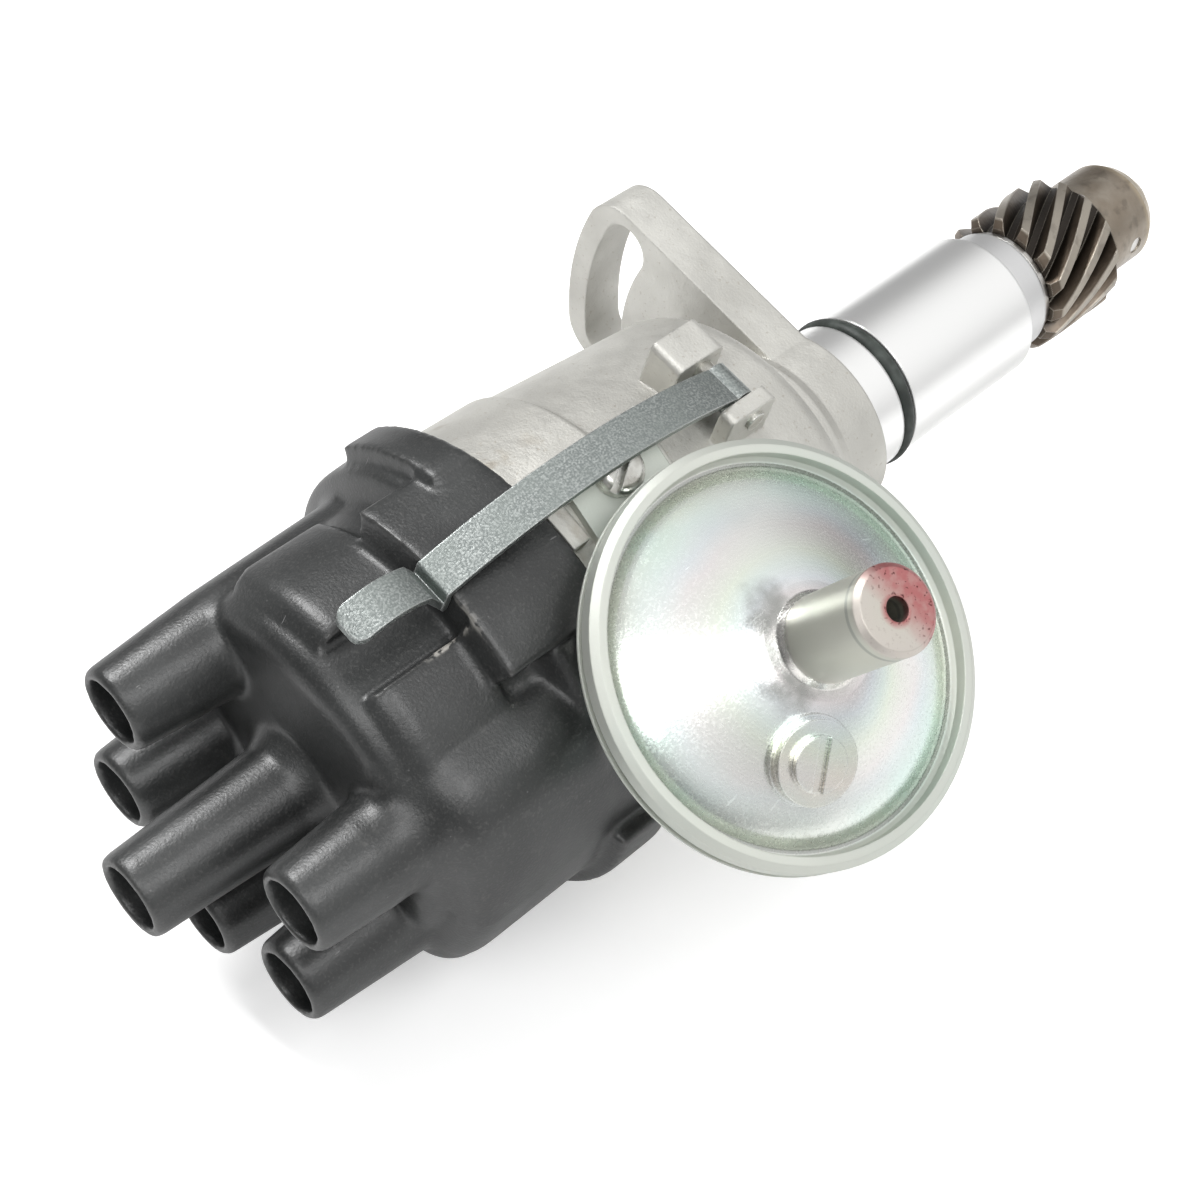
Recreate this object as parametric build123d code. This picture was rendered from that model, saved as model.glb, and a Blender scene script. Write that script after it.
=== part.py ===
from build123d import *
import os
from math import asin, atan2, cos, degrees, hypot, radians, sin, sqrt, tan

# Ignition distributor with a six-position cap, lying on its side.  Millimetres and degrees.
# X is the shaft line: -X is the cap end, +X the drive gear.  x = 0 is the face of the
# mounting ear that seats on the engine.  Angles round the shaft run from +Y towards +Z.

# Fits and seats
running = 0.04            # radial clearance of a shaft or pivot in its hole
slip = 0.10               # radial clearance of a part that is dropped over another
end_play = 0.10           # axial play between faces that turn on each other
seat_gap = 0.30           # stand-off of a sprung or formed piece from what it rests on

# Stem, flange and mounting ear
stem_r = 13.0
stem_end_x = 42.6
boss_r = 11.0
boss_len = 6.0
oring_x = 9.5
oring_wire_r = 1.4
oring_squeeze = 0.5       # how far the ring stands above the stem
hub_r = 16.0
ear_thick = 8.0
ear_angle = 13.0
ear_r = 49.0
ear_root_half = 14.2
ear_flare = 4.9
ear_corner_r = 7.0
ear_slot_r = 40.6
ear_slot_w = 8.6
ear_slot_span = 32.0
neck_r = 17.0

# Bowl of the housing
bowl_base_x = -18.0
bowl_base_r = 28.8
bowl_corner_r = 4.0
bowl_step_x = -52.0
bowl_step_r = 31.0
bowl_rim_r = 32.0
bowl_rim_draft = 0.25
bowl_wall = 3.5
floor_thick = 6.0
rim_x = -69.0
seat_x = -51.0
seat_step = 1.5

# Distributor cap
cap_band_r = 34.2
cap_band_len = 10.0
cap_body_r = 29.8
cap_top_r = 27.8
cap_top_x = -107.0
cap_wall = 4.0
cap_top_thick = 3.6
cap_edge_r = 3.8
spigot_len = 2.2
gap_angle = 102.0         # the one of six positions without a post
post_pitch = 60.0
post_circle_r = 22.0
post_mouth_r = 6.5
post_root_r = 7.8
post_x = -123.7
centre_post_x = -135.4
flute_r = 8.6
full_flute_r = 12.3       # on the two posts beside the full wall
lobe_r = 34.0
lobe_x = -104.0
lobe_edge_r = 4.5
lobe_overlap = 3.0        # degrees that the full wall starts inside its posts
socket_r = 4.95
socket_depth = 16.0
centre_socket_depth = 24.0
block_r = 34.9
block_x = -87.0
block_from = -26.5
block_to = 26.5
block_slope = 2.0
recess_x = -108.6
recess_r = 27.9
recess_from = -7.0
recess_to = 11.5

panel_r = 30.3            # wall between the posts beside the clip
panel_from = -48.0
panel_to = 44.0
heel_r = 36.8             # skirt under the full wall
heel_from = 190.0
heel_to = 250.0
hump_r = 36.4
hump_x = -77.0
hump_len = 7.0
hump_from = -56.0
hump_to = -20.0

# Spring clips
clip_angle = 106.5
clip_pin_x = -32.8
clip_pin_orbit = 33.6
clip_pin_r = 1.6
clip_thick = 1.0
clip_w = 6.1
clip_tab_w = 5.7
clip_bulge_r = 40.2
clip_bulge_x = -56.0
clip_hook_r = 32.6
clip_rise_x = 3.2
clip_corner_r = 1.8
clip_crest_x = -95.5
clip_crest_r = 39.0
clip_tip_x = -103.0
clip_tip_r = 37.6
lug_w = 2.6
lug_gap = 0.35
lug_far_gap = 1.8
lug_far_w = 6.0
lug_r = 2.8
lug_from_x = -38.0
lug_to_x = -29.0
lug_corner_r = 1.1
pin_end = 0.6
rim_lug_r = 34.6
rim_lug_drop = 0.2          # from the rim down to the lug
rim_lug_len = 4.3
rim_lug_from = -2.5
rim_lug_to = 11.5

# Shaft, bushes and drive gear
shaft_r = 6.0
shaft_top_r = 4.6
shaft_end_r = 5.0
shaft_tip_x = 87.2
shaft_top_x = -80.0
bush_r = 9.0
upper_bush_len = 18.0
lower_bush_len = 19.0
stem_bore_r = 7.2
washer_thick = 1.0
gear_teeth = 14
gear_tip_r = 12.7
gear_root_r = 9.9
gear_face = 20.0
gear_helix = 28.6
gear_hub_r = 9.5
gear_hub_len = 13.5
gear_hub_end_r = 7.6
gear_pin_r = 1.5

# Centrifugal advance
governor_r = 22.0
governor_thick = 2.0
weight_thick = 5.0
weight_pivot_r = 16.0
weight_pin_orbit = 8.0
weight_in_r = 10.8
weight_out_r = 19.5
weight_span = 95.0
pivot_pin_r = 2.0
drive_pin_r = 1.5
slot_slack = 0.25
foot_thick = 1.7
foot_r = 12.0
spring_post_r = 1.0
spring_coil_r = 1.5
spring_wire_r = 0.3
spring_turns = 5

# Cam and rotor
cam_sleeve_r = 6.9
cam_long_r = 10.0
cam_short_r = 8.6
cam_from_x = -57.2
cam_to_x = -66.6
rotor_from_x = -71.0
rotor_hub_r = 9.5
rotor_hub_end_x = -86.0
rotor_arm_thick = 4.0
rotor_arm_w = 9.0
blade_thick = 1.0
blade_w = 6.0
blade_gap = 0.9           # air gap from the blade tip to each terminal
rotor_angle = 42.0

# Terminals and brush in the cap
terminal_r = 2.2
brush_r = 2.0
brush_len = 6.0

# Breaker assembly
base_thick = 1.8
base_hole_r = 11.4
collar_r = 14.0
plate_r = 25.0
plate_thick = 1.6
plate_screw_orbit = 24.7
plate_screw_angle = 20.0
plate_screw_r = 1.95
plate_screw_head_r = 3.2
plate_screw_head = 1.8
plate_travel = 10.0
contact_angle = -65.0
arm_pivot_u = 16.4
arm_pivot_v = 11.5
arm_post_r = 1.6
arm_hub_r = 3.2
arm_w = 6.0
arm_thick = 1.8
arm_from_x = -57.6
block_gap = 0.05          # the rubbing block clears the cam nose by this much
contact_r = 2.0
contact_thick = 1.0
contact_gap = 0.45

# Vacuum canister.  Its axis points along can_angle and passes can_offset beside the shaft.
can_angle = 127.5
can_x = -56.3
can_rim_dist = 44.6
can_offset = 21.2
can_r = 29.3
can_inner_r = 26.6
can_sheet = 0.9
can_rear_depth = 11.5
can_rear_r = 25.4
dome_rise = 7.5
dome_foot_r = 8.0
dome_edge_z = -1.5
port_r = 6.0
port_len = 18.5
port_hole_r = 1.65
port_hole_depth = 12.0
plug_r = 5.8
plug_thick = 1.6
plug_seat = 0.8          # height of the flat seat above the dome
plug_tilt = 22.0
plug_orbit = 15.3
plug_angle = -127.4
neck_tube_r = 5.0
rod_r = 1.2
rod_eye_r = 2.6
rod_pin_r = 1.2
diaphragm_r = 28.0
diaphragm_thick = 0.6
piston_r = 16.0
piston_thick = 1.2
can_spring_r = 7.0
can_spring_wire_r = 0.6
can_spring_turns = 3.5
bracket_thick = 1.5
bracket_w = 16.0
bracket_screw_off = 32.4
bracket_screw_r = 1.95
bracket_head_r = 3.7
bracket_head = 2.6
pad_w = 19.0

# Derived places
boss_end_x = stem_end_x + boss_len
floor_x = bowl_base_x - floor_thick
bowl_bore_r = bowl_rim_r - bowl_wall
well_r = bowl_bore_r - seat_step
post_angles = [gap_angle + post_pitch * n for n in range(1, 6)]
clip_angles = [clip_angle, clip_angle + 180]
cavity_x = cap_top_x + cap_top_thick
cavity_r = cap_body_r - cap_wall
upper_washer_x = floor_x - washer_thick - end_play
governor_x = upper_washer_x - end_play
weight_x = governor_x - governor_thick - end_play
foot_x = weight_x - weight_thick - end_play
foot_top_x = foot_x - foot_thick
lower_washer_x = boss_end_x + end_play
gear_x = lower_washer_x + washer_thick + end_play
gear_teeth_end_x = gear_x + gear_face
gear_end_x = gear_teeth_end_x + gear_hub_len
base_x = seat_x
collar_x = base_x - base_thick
plate_x = collar_x - end_play
plate_top_x = plate_x - plate_thick
blade_x = rotor_hub_end_x - rotor_arm_thick
blade_r = post_circle_r - terminal_r - blade_gap
terminal_end_x = blade_x + 1.5
can_back = can_rim_dist - can_rear_depth
bracket_out = can_back
bracket_in = can_back - bracket_thick
clamp_z = dome_edge_z - can_sheet                    # underside of the dome at the crimp
diaphragm_z = clamp_z - diaphragm_thick
neck_tube_end = sqrt(bowl_bore_r ** 2 - (can_offset - neck_tube_r) ** 2) + seat_gap - can_rim_dist


def at(angle, part):
    """Turn a part made on the +Y side to an angle round the shaft."""
    return Rotation(angle, 0, 0) * part


def turned(*outline):
    """Solid of revolution about the shaft from (x, radius) corners."""
    return revolve(make_face(Polyline(*outline, close=True)), Axis.X)


def tube(x_from, x_to, outer, inner):
    """Plain ring on the shaft line."""
    return turned((x_from, inner), (x_from, outer), (x_to, outer), (x_to, inner))


def rod_x(x_from, x_to, radius, y=0.0, z=0.0):
    """Round bar parallel to the shaft."""
    length = abs(x_to - x_from)
    place = Plane(origin=(min(x_from, x_to), y, z), x_dir=(0, 1, 0), z_dir=(1, 0, 0))
    return extrude(place * Circle(radius), length)


def sheet_x(x_from, x_to, sketch, angle=0.0):
    """Flat plate square to the shaft, drawn as (radial, tangential) at an angle."""
    facing = (0, cos(radians(angle)), sin(radians(angle)))
    place = Plane(origin=(min(x_from, x_to), 0, 0), x_dir=facing, z_dir=(1, 0, 0))
    return extrude(place * sketch, abs(x_to - x_from))


def sector(r_in, r_out, angle_from, angle_to):
    """Flat ring sector between two angles."""
    steps = max(2, int(abs(angle_to - angle_from) / 20) + 1)
    turn = (angle_to - angle_from) / steps
    reach = r_out * 1.6
    wedge = [(0, 0)]
    for n in range(steps + 1):
        a = radians(angle_from + n * turn)
        wedge.append((reach * cos(a), reach * sin(a)))
    ring = Circle(r_out) - Circle(r_in)
    return ring & make_face(Polyline(*wedge, close=True))


def polar(radius, angle):
    return radius * cos(radians(angle)), radius * sin(radians(angle))


# --- Housing -------------------------------------------------------------------------

def mounting_ear():
    """Flared ear with a curved timing slot."""
    far = ear_r * 1.3
    half_far = ear_root_half + far * tan(radians(ear_flare))
    wedge = Polyline((0, -ear_root_half), (far, -half_far), (far, half_far), (0, ear_root_half), close=True)
    outline = Circle(ear_r) & make_face(wedge)
    tips = outline.vertices().group_by(Axis.X)[-1]
    outline = fillet(tips, ear_corner_r) + Circle(hub_r)
    slot = SlotArc(CenterArc((0, 0), ear_slot_r, -ear_slot_span / 2, ear_slot_span), ear_slot_w)
    return sheet_x(-ear_thick, 0, outline - slot, ear_angle)


def housing_outside():
    """Stem, neck and bowl as one turned casting."""
    groove_r = stem_r + oring_squeeze - 2 * oring_wire_r
    groove_half = oring_wire_r + slip
    path = Polyline(
        (boss_end_x, 0), (boss_end_x, boss_r - 0.6), (boss_end_x - 0.6, boss_r), (stem_end_x, boss_r),
        (stem_end_x, stem_r - 1.0), (stem_end_x - 1.0, stem_r),
        (oring_x + groove_half, stem_r), (oring_x + groove_half, groove_r),
        (oring_x - groove_half, groove_r), (oring_x - groove_half, stem_r),
        (0, stem_r), (0, neck_r - 1), (-ear_thick, neck_r - 1), (-ear_thick - 2, neck_r),
        (bowl_base_x + 3, neck_r), (bowl_base_x, neck_r + 3), (bowl_base_x, bowl_base_r - bowl_corner_r))
    corner = RadiusArc(path @ 1, (bowl_base_x - bowl_corner_r, bowl_base_r), -bowl_corner_r)
    side = Polyline(
        corner @ 1, (bowl_step_x, bowl_step_r), (bowl_step_x - 1, bowl_rim_r - bowl_rim_draft),
        (rim_x, bowl_rim_r), (rim_x, 0), (boss_end_x, 0))
    return revolve(make_face([path.edges(), corner.edges(), side.edges()]), Axis.X)


def clip_lugs():
    """Pair of blocky cast ears that hold a clip pin, on the +Y side."""
    root = bowl_base_r - 2
    crown = clip_pin_orbit + lug_r
    lug = make_face(Polyline(
        (lug_from_x, root), (lug_to_x, root), (lug_to_x, crown), (lug_from_x, crown), close=True))
    lug = fillet(lug.vertices().group_by(Axis.Y)[-1], lug_corner_r)
    lug -= Pos(clip_pin_x, clip_pin_orbit) * Circle(clip_pin_r)
    near = extrude(Plane.XY.offset(clip_w / 2 + lug_gap) * lug, lug_w)
    far = extrude(Plane.XY.offset(-clip_w / 2 - lug_far_gap) * lug, -lug_far_w)
    return near + far


def can_frame(x=can_x, out=0.0, side=can_offset):
    """Plane square to the canister axis; its local -y points to the far side."""
    a = radians(can_angle)
    out_dir = (0, cos(a), sin(a))
    side_dir = (0, -sin(a), cos(a))
    place = tuple(out * o + side * s for o, s in zip(out_dir, side_dir))
    return Plane(origin=(x, place[1], place[2]), x_dir=(1, 0, 0), z_dir=out_dir)


def housing():
    body = housing_outside() + mounting_ear()
    for angle in clip_angles:
        body += at(angle, clip_lugs())
    rim_lug = sector(bowl_bore_r + 1, rim_lug_r, rim_lug_from, rim_lug_to)
    lug_x = rim_x + rim_lug_drop
    body += sheet_x(lug_x, lug_x + rim_lug_len, rim_lug, clip_angle)
    # Flat pad for the canister bracket and the boss that its neck enters
    pad_side = can_offset - bracket_screw_off
    pad = can_frame(out=bowl_rim_r - 9, side=pad_side) * Rectangle(pad_w, 2 * bracket_head_r + 5)
    body += extrude(pad, bracket_in - bowl_rim_r + 9)
    neck_boss = can_frame(out=bowl_bore_r * 0.6) * Circle(neck_tube_r + 3)
    body += extrude(neck_boss, bracket_in - 1.5 - bowl_bore_r * 0.6)
    relief = can_frame(out=bracket_in) * Rectangle(pad_w, 2 * bracket_screw_off)
    body -= extrude(relief, 8)
    # Inside: plate seat, well, floor and stem bores
    body -= turned((rim_x - 1, 0), (rim_x - 1, bowl_bore_r), (seat_x, bowl_bore_r), (seat_x, well_r),
                   (floor_x, well_r - 0.6), (floor_x, 0))
    for turn in (0, 180):
        y, z = polar(plate_screw_orbit, plate_screw_angle + turn)
        body += rod_x(seat_x, seat_x + 10, plate_screw_r + 2.4, y, z) & tube(seat_x, floor_x, bowl_step_r, 0)
        body -= rod_x(seat_x - 1, seat_x + 8, plate_screw_r, y, z)
    body -= turned((floor_x - 1, 0), (floor_x - 1, bush_r), (floor_x + upper_bush_len, bush_r),
                   (floor_x + upper_bush_len, stem_bore_r), (boss_end_x - lower_bush_len, stem_bore_r),
                   (boss_end_x - lower_bush_len, bush_r), (boss_end_x + 1, bush_r), (boss_end_x + 1, 0))
    # Bores for the canister neck and the bracket screw
    body -= extrude(can_frame(out=bowl_bore_r * 0.4) * Circle(neck_tube_r + slip), bowl_rim_r)
    body -= extrude(can_frame(out=bracket_in - 8, side=pad_side) * Circle(bracket_screw_r), 20)
    return body


def o_ring():
    ring_centre = stem_r + oring_squeeze - oring_wire_r
    return revolve(Pos(oring_x, ring_centre) * Circle(oring_wire_r), Axis.X)


# --- Cap -----------------------------------------------------------------------------

def cap_post(mouth_x, root_x):
    """One moulded lead post, drafted, with a rounded mouth."""
    lip = 0.8
    return turned((mouth_x, 0), (mouth_x, post_mouth_r - lip), (mouth_x + lip / 2, post_mouth_r - 0.2),
                  (mouth_x + lip * 1.6, post_mouth_r), (root_x, post_root_r), (root_x, 0))


def shouldered(x_from, x_to, outer, edge_r, foot_r):
    """Tapered bar on the shaft line with a rounded shoulder at its first end."""
    arc_rise = edge_r * (1 - sqrt(0.5))
    top = (x_from, outer - edge_r)
    side = (x_from + edge_r, outer)
    arc = ThreePointArc(top, (x_from + arc_rise, outer - arc_rise), side)
    rest = Polyline(side, (x_to, foot_r), (x_to, 0), (x_from, 0), top)
    return revolve(make_face([arc.edges(), rest.edges()]), Axis.X)


def clip_block():
    """Raised panel under a clip, sloped at its upper end, on the +Y side."""
    slope_x = block_x - block_slope
    ring = turned((slope_x, 0), (slope_x, cap_top_r), (block_x, block_r), (rim_x, block_r), (rim_x, 0))
    return ring & sheet_x(slope_x - 1, rim_x, sector(cavity_r, block_r + 4, block_from, block_to))


def clip_recess():
    """Space for the hook and tab, on the +Y side."""
    return sheet_x(recess_x, block_x, sector(recess_r, block_r + 6, recess_from, recess_to))


def cap_outside():
    band_end_x = rim_x - cap_band_len
    body = shouldered(cap_top_x, rim_x, cap_top_r, cap_edge_r, cap_body_r)
    body += turned((rim_x, 0), (rim_x, cap_band_r), (band_end_x, cap_band_r - 0.5),
                   (band_end_x - 2, cap_body_r - 1), (band_end_x - 2, 0))
    for angle in post_angles:
        y, z = polar(post_circle_r, angle)
        body += Pos(0, y, z) * turned(
            (band_end_x, 0), (band_end_x, flute_r), (cap_top_x + 1, post_root_r), (cap_top_x + 1, 0))
        body += Pos(0, y, z) * cap_post(post_x, cap_top_x + 1)
    # The wall stands further out round the first two posts and between them
    first, last = post_angles[:2]
    for angle in (first, last):
        y, z = polar(post_circle_r, angle)
        body += Pos(0, y, z) * shouldered(
            lobe_x, band_end_x, full_flute_r, lobe_edge_r, full_flute_r)
    lobe = sector(cavity_r, lobe_r + 4, first + lobe_overlap, last - lobe_overlap)
    wall = shouldered(lobe_x, band_end_x, lobe_r, lobe_edge_r, lobe_r)
    body += wall & sheet_x(lobe_x - 1, band_end_x, lobe)
    body += cap_post(centre_post_x, cap_top_x + 1)
    body += turned((cap_top_x + 1, 0), (cap_top_x + 1, post_root_r + 3), (cap_top_x - 1, post_root_r + 1.2),
                   (cap_top_x - 3.4, post_root_r - 0.4), (cap_top_x - 3.4, 0))
    return body


def cap():
    body = cap_outside()
    for angle in clip_angles:
        body += at(angle, clip_block())
        body -= at(angle, clip_recess())
    panel = shouldered(lobe_x, block_x, panel_r, lobe_edge_r, panel_r)
    panel &= sheet_x(lobe_x - 1, block_x, sector(cavity_r, panel_r + 4, panel_from, panel_to))
    body += at(clip_angle, panel) - at(clip_angle, clip_recess())
    body += sheet_x(rim_x - cap_band_len, rim_x, sector(cavity_r, heel_r, heel_from, heel_to))
    hump = sector(cavity_r, hump_r, hump_from, hump_to)
    body += sheet_x(hump_x, hump_x + hump_len, hump, clip_angle)
    spigot_r = bowl_bore_r - slip
    body += turned((rim_x + spigot_len, 0), (rim_x + spigot_len, spigot_r), (rim_x, spigot_r), (rim_x, 0))
    body -= turned((rim_x + spigot_len + 1, 0), (rim_x + spigot_len + 1, cavity_r - 1),
                   (block_x, cavity_r - 1.4), (cavity_x, recess_r - 2.4), (cavity_x, 0))
    stud_hole_r = terminal_r
    for angle in post_angles:
        y, z = polar(post_circle_r, angle)
        body -= rod_x(post_x - 1, post_x + socket_depth, socket_r, y, z)
        body -= rod_x(post_x, cavity_x + 1, stud_hole_r, y, z)
    body -= rod_x(centre_post_x - 1, centre_post_x + centre_socket_depth, socket_r)
    body -= rod_x(centre_post_x, cavity_x + 1, stud_hole_r)
    return body


def perimeter_terminals():
    """Five metal studs moulded through the cap top, one under each post."""
    studs = []
    top = post_x + socket_depth
    for angle in post_angles:
        y, z = polar(post_circle_r, angle)
        studs.append(Pos(0, y, z) * turned(
            (top, 0), (top, terminal_r - 0.6), (top + 1, terminal_r), (terminal_end_x, terminal_r),
            (terminal_end_x, 0)))
    return Compound(children=studs)


def centre_terminal():
    """Hollow stud that carries the coil lead and guides the brush."""
    top = centre_post_x + centre_socket_depth
    return turned((top, 0), (top, terminal_r - 0.6), (top + 1, terminal_r), (cavity_x - 0.4, terminal_r),
                  (cavity_x - 0.4, 0))


def brush_holder():
    """Moulded guide inside the cap crown for the brush."""
    return tube(cavity_x, cavity_x + 5, terminal_r + 2, brush_r + running)


def carbon_brush():
    tip = blade_x - blade_thick - end_play
    return turned((tip, 0), (tip, brush_r - 0.8), (tip - 0.8, brush_r), (tip - brush_len, brush_r),
                  (tip - brush_len, 0))


# --- Shaft and drive -----------------------------------------------------------------

def drive_shaft():
    step_x = governor_x - governor_thick
    body = turned((shaft_top_x, 0), (shaft_top_x, shaft_top_r - 0.5), (shaft_top_x + 0.5, shaft_top_r),
                  (step_x, shaft_top_r), (step_x, shaft_r), (gear_x, shaft_r), (gear_x, shaft_end_r),
                  (shaft_tip_x - 1, shaft_end_r), (shaft_tip_x, shaft_end_r - 1), (shaft_tip_x, 0))
    pin_x = gear_end_x - gear_hub_len / 2
    return body - gear_pin_shape(pin_x)


def gear_pin_shape(x):
    across = Plane(origin=(x, -gear_hub_r, 0), x_dir=(1, 0, 0), z_dir=(0, 1, 0))
    return extrude(across * Circle(gear_pin_r), 2 * gear_hub_r)


def gear_pin():
    pin_x = gear_end_x - gear_hub_len / 2
    length = gear_hub_r - 0.3
    across = Plane(origin=(pin_x, -length, 0), x_dir=(1, 0, 0), z_dir=(0, 1, 0))
    return extrude(across * Circle(gear_pin_r), 2 * length)


def tooth_ring():
    """Outline of the skew gear: straight-flanked teeth on a round root."""
    pitch = 360 / gear_teeth
    corners = []
    for n in range(gear_teeth):
        middle = n * pitch
        for radius, off in (
                (gear_root_r, -0.34), (gear_tip_r, -0.15), (gear_tip_r, 0.15), (gear_root_r, 0.34)):
            corners.append(polar(radius, middle + off * pitch))
    return make_face(Polyline(*corners, close=True))


def drive_gear():
    pitch_r = (gear_tip_r + gear_root_r) / 2
    twist = degrees(gear_face * tan(radians(gear_helix)) / pitch_r)
    section = tooth_ring().face()
    teeth = Solid.extrude_linear_with_rotation(section, (0, 0, 0), (0, 0, gear_face), -twist)
    lay = Plane(origin=(gear_x, 0, 0), x_dir=(0, 1, 0), z_dir=(1, 0, 0))
    body = lay * Part(teeth.wrapped)
    body += turned((gear_teeth_end_x - 1, 0), (gear_teeth_end_x - 1, gear_hub_r),
        (gear_end_x - 3, gear_hub_r),
                   (gear_end_x - 1, gear_hub_end_r + 0.8), (gear_end_x, gear_hub_end_r), (gear_end_x, 0))
    body &= turned((gear_x, 0), (gear_x, gear_tip_r - 1.4), (gear_x + 1.4, gear_tip_r + 0.1),
                   (gear_teeth_end_x - 3.2, gear_tip_r + 0.1), (gear_teeth_end_x, gear_hub_r),
                   (gear_end_x + 1, gear_hub_r), (gear_end_x + 1, 0))
    body -= rod_x(gear_x - 1, gear_end_x + 1, shaft_end_r)
    return body - gear_pin_shape(gear_end_x - gear_hub_len / 2)


# --- Centrifugal advance -------------------------------------------------------------

def governor_plate():
    outline = Circle(governor_r) - Circle(shaft_r)
    return sheet_x(governor_x, governor_x - governor_thick, outline)


def governor_pins():
    """Two weight pivots and two spring posts riveted in the plate."""
    top = foot_x + end_play * 2
    pins = []
    for turn in (0, 180):
        y, z = polar(weight_pivot_r, turn)
        pins.append(rod_x(governor_x - governor_thick, top, pivot_pin_r, y, z))
        y, z = polar(weight_out_r - 0.5, turn + 150)
        pins.append(rod_x(governor_x - governor_thick, top, spring_post_r, y, z))
    return Compound(children=pins)


def fly_weight(turn):
    """Crescent weight with a pivot hole and a drive pin near the shaft."""
    arm = make_hull(
        (Pos(weight_pivot_r, 0) * Circle(4.0)).edges() + (Pos(weight_pin_orbit, 0) * Circle(2.4)).edges())
    crescent = sector(weight_in_r, weight_out_r, 0, weight_span)
    outline = arm + crescent - Pos(weight_pivot_r, 0) * Circle(pivot_pin_r + running)
    body = sheet_x(weight_x, weight_x - weight_thick, outline)
    body += rod_x(weight_x - weight_thick, foot_top_x, drive_pin_r, weight_pin_orbit)
    return at(turn, body)


def cam_sleeve():
    """Foot plate, sleeve and two-lobe cam in one piece, free to turn on the shaft."""
    foot = Circle(foot_r)
    slot_len = 2 * drive_pin_r + 1.6
    for turn in (0, 180):
        y, z = polar(weight_pin_orbit + 0.2, turn)
        foot -= Pos(y, z) * SlotOverall(slot_len + 2 * slot_slack, 2 * (drive_pin_r + slot_slack))
    body = sheet_x(foot_x, foot_top_x, foot)
    body += rod_x(foot_x, rotor_hub_end_x + 4.2, cam_sleeve_r - 0.7)
    body += rod_x(foot_x, cam_to_x, cam_sleeve_r - 0.7)
    body += sheet_x(cam_from_x, cam_to_x, Ellipse(cam_long_r, cam_short_r), contact_angle)
    for turn in (120, 300):
        y, z = polar(foot_r - 2, turn)
        body += rod_x(foot_x, foot_x + 4, spring_post_r, y, z)
    return body - rod_x(foot_x + 5, shaft_top_x - 0.5, shaft_top_r + running)


def coil_spring(coil_r, wire_r, pitch, length):
    """Open wire coil along Z; the wire is a hexagon, which keeps small springs light."""
    path = Helix(pitch, length, coil_r)
    place = Plane(origin=path @ 0, x_dir=(1, 0, 0), z_dir=path % 0)
    return sweep(place * RegularPolygon(wire_r, 6), path=path, is_frenet=True)


def advance_springs():
    """Light tension springs from the plate posts to the cam foot."""
    coils = []
    start = polar(foot_r - 2, 120)
    end = polar(weight_out_r - 0.5, 150)
    length = hypot(end[0] - start[0], end[1] - start[1]) - 2 * (spring_post_r + seat_gap)
    heading = degrees(atan2(end[1] - start[1], end[0] - start[0]))
    middle_x = (weight_x + foot_x) / 2
    for turn in (0, 180):
        coil = coil_spring(spring_coil_r, spring_wire_r, length / spring_turns, length)
        lay = Plane(origin=(middle_x, *start), x_dir=(1, 0, 0),
                    z_dir=(0, cos(radians(heading)), sin(radians(heading))))
        coils.append(at(turn, lay * (Pos(0, 0, spring_post_r + seat_gap) * coil)))
    return Compound(children=coils)


# --- Rotor ---------------------------------------------------------------------------

def rotor_arm():
    seat_r = cam_sleeve_r - 0.7
    body = turned((rotor_from_x, seat_r + slip), (rotor_from_x, rotor_hub_r),
        (rotor_hub_end_x, rotor_hub_r - 0.8),
                  (blade_x, rotor_hub_r - 1.4), (blade_x, 0), (rotor_hub_end_x + 4, 0),
                  (rotor_hub_end_x + 4, seat_r + slip))
    reach = blade_r - 2.2
    bar = Pos(reach / 2, 0) * Rectangle(reach, rotor_arm_w)
    body += sheet_x(rotor_hub_end_x, blade_x, bar, rotor_angle)
    tail = Pos(-6, 0) * Rectangle(8, rotor_arm_w + 3)
    return body + sheet_x(rotor_hub_end_x, blade_x, tail, rotor_angle)


def rotor_blade():
    strip = Pos(blade_r / 2 - 1.5, 0) * Rectangle(blade_r + 3, blade_w)
    strip &= Circle(blade_r)
    return sheet_x(blade_x, blade_x - blade_thick, strip, rotor_angle)


# --- Breaker assembly ----------------------------------------------------------------

def base_plate():
    body = tube(base_x, collar_x, bowl_bore_r - slip, base_hole_r)
    body += tube(collar_x, plate_top_x + end_play, collar_r, base_hole_r)
    for turn in (0, 180):
        y, z = polar(plate_screw_orbit, plate_screw_angle + turn)
        body -= rod_x(base_x + 1, collar_x - 1, plate_screw_r + slip, y, z)
    return body


def plate_screws():
    screws = []
    for turn in (0, 180):
        y, z = polar(plate_screw_orbit, plate_screw_angle + turn)
        screw = rod_x(collar_x, seat_x + 7, plate_screw_r)
        screw += rod_x(collar_x, collar_x - plate_screw_head, plate_screw_head_r)
        slot = Plane(origin=(collar_x - plate_screw_head, 0, 0), x_dir=(0, 1, 0), z_dir=(1, 0, 0))
        screw -= extrude(slot * Rectangle(2 * plate_screw_head_r + 1, 0.9), 0.9)
        screws.append(Pos(0, y, z) * screw)
    return Compound(children=screws)


def breaker_plate():
    outline = Circle(plate_r) - Circle(collar_r + running)
    half = degrees(asin(plate_screw_head_r / plate_screw_orbit)) + 2
    for turn in (0, 180):
        middle = plate_screw_angle + turn
        outline -= sector(plate_screw_orbit - plate_screw_head_r - 0.6, plate_r + 2,
                          middle - half, middle + half + plate_travel)
    body = sheet_x(plate_x, plate_top_x, outline)
    y, z = polar(can_offset, can_angle + 90 + plate_travel / 2)
    body += rod_x(plate_x, can_x - rod_eye_r, rod_pin_r, y, z)
    y, z = contact_place(arm_pivot_u, -arm_pivot_v)
    return body + rod_x(plate_x, arm_from_x - arm_w - 1.6, arm_post_r, y, z)


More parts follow.
